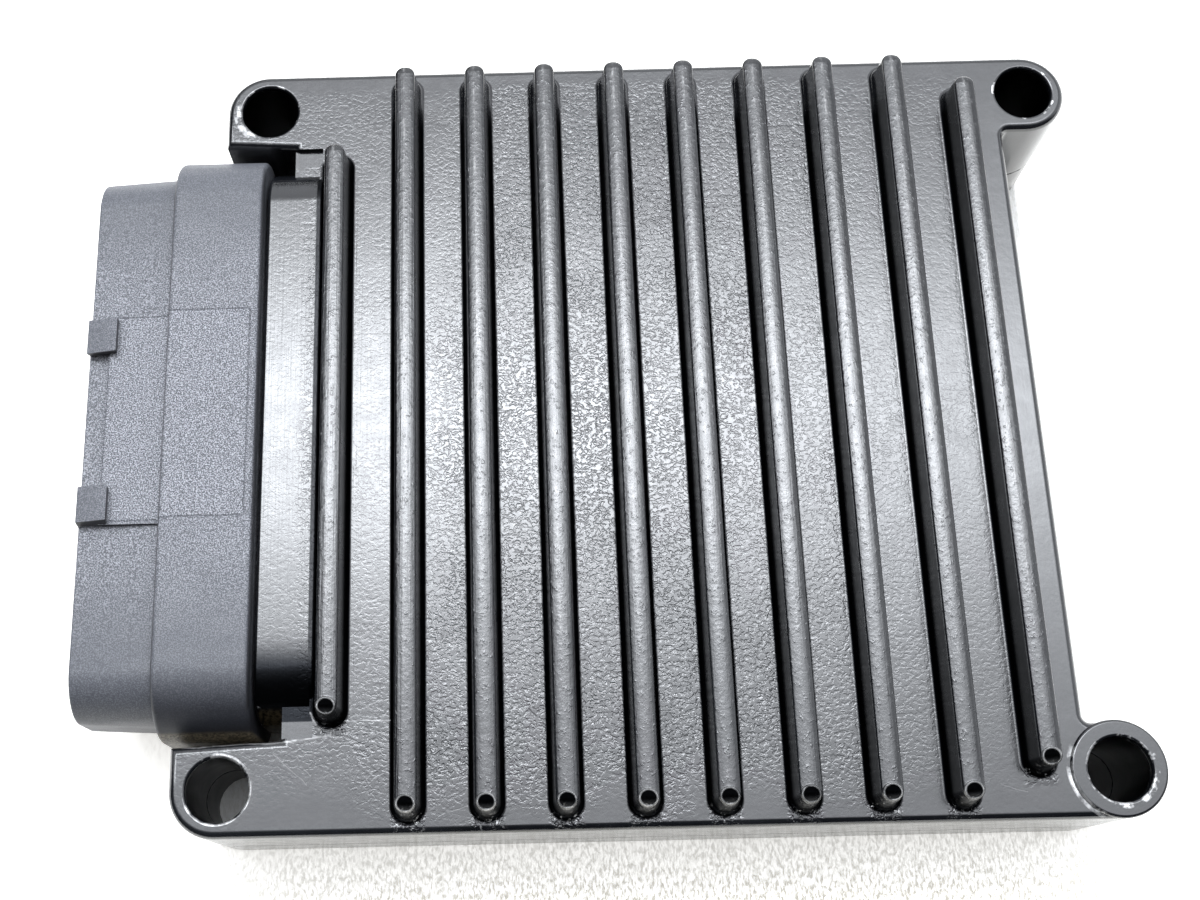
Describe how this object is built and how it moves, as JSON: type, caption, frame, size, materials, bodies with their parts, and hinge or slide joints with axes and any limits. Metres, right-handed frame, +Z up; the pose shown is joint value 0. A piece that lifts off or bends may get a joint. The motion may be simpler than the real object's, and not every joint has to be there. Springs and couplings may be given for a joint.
{
  "type": "engine control unit",
  "caption": "Engine control unit with a black die-cast housing with long cooling fins, a cast base cover, mounting ears with plain bores and a moulded header for the plug on one side.",
  "frame": {"origin": "centre of the base cover's underside, below the middle of the fin bank", "axes": "+X from the header across the fins, +Y along the fins, +Z up out of the fins"},
  "size_m": [0.1404, 0.1096, 0.0291],
  "materials": {
    "black_paint": "gloss black paint on die-cast aluminium, worn bright at edges",
    "grey_plastic": "matte dark grey moulding",
    "seal_rubber": "matte",
    "tinned_pin": "tinned copper alloy",
    "board_laminate": "green solder resist",
    "zinc_steel": "zinc plated",
    "chip_resin": "matte black resin",
    "metal_can": "bright can",
    "thermal_pad": "soft grey pad"
  },
  "bodies": {
    "root": {"upper_housing": "black_paint", "base_cover": "black_paint", "cover_seal": "seal_rubber", "header_body": "grey_plastic", "header_seal": "seal_rubber", "circuit_board": "board_laminate", "cover_screw_1": "zinc_steel", "cover_screw_2": "zinc_steel", "cover_screw_3": "zinc_steel", "cover_screw_4": "zinc_steel", "cover_screw_5": "zinc_steel", "cover_screw_6": "zinc_steel", "board_screw_1": "zinc_steel", "board_screw_2": "zinc_steel", "board_screw_3": "zinc_steel", "board_screw_4": "zinc_steel", "microcontroller": "chip_resin", "injector_driver": "chip_resin", "coil_driver_front": "chip_resin", "coil_driver_rear": "chip_resin", "voltage_regulator": "chip_resin", "reservoir_capacitor": "metal_can", "clock_crystal": "metal_can", "thermal_pad": "thermal_pad", "header_pin_a01": "tinned_pin", "header_pin_a02": "tinned_pin", "header_pin_a03": "tinned_pin", "header_pin_a04": "tinned_pin", "header_pin_a05": "tinned_pin", "header_pin_a06": "tinned_pin", "header_pin_a07": "tinned_pin", "header_pin_a08": "tinned_pin", "header_pin_a09": "tinned_pin", "header_pin_a10": "tinned_pin", "header_pin_a11": "tinned_pin", "header_pin_a12": "tinned_pin", "header_pin_b01": "tinned_pin", "header_pin_b02": "tinned_pin", "header_pin_b03": "tinned_pin", "header_pin_b04": "tinned_pin", "header_pin_b05": "tinned_pin", "header_pin_b06": "tinned_pin", "header_pin_b07": "tinned_pin", "header_pin_b08": "tinned_pin", "header_pin_b09": "tinned_pin", "header_pin_b10": "tinned_pin", "header_pin_b11": "tinned_pin", "header_pin_b12": "tinned_pin", "header_pin_c01": "tinned_pin", "header_pin_c02": "tinned_pin", "header_pin_c03": "tinned_pin", "header_pin_c04": "tinned_pin", "header_pin_c05": "tinned_pin", "header_pin_c06": "tinned_pin", "header_pin_c07": "tinned_pin", "header_pin_c08": "tinned_pin", "header_pin_c09": "tinned_pin", "header_pin_c10": "tinned_pin", "header_pin_c11": "tinned_pin", "header_pin_c12": "tinned_pin"}
  },
  "joints": []
}
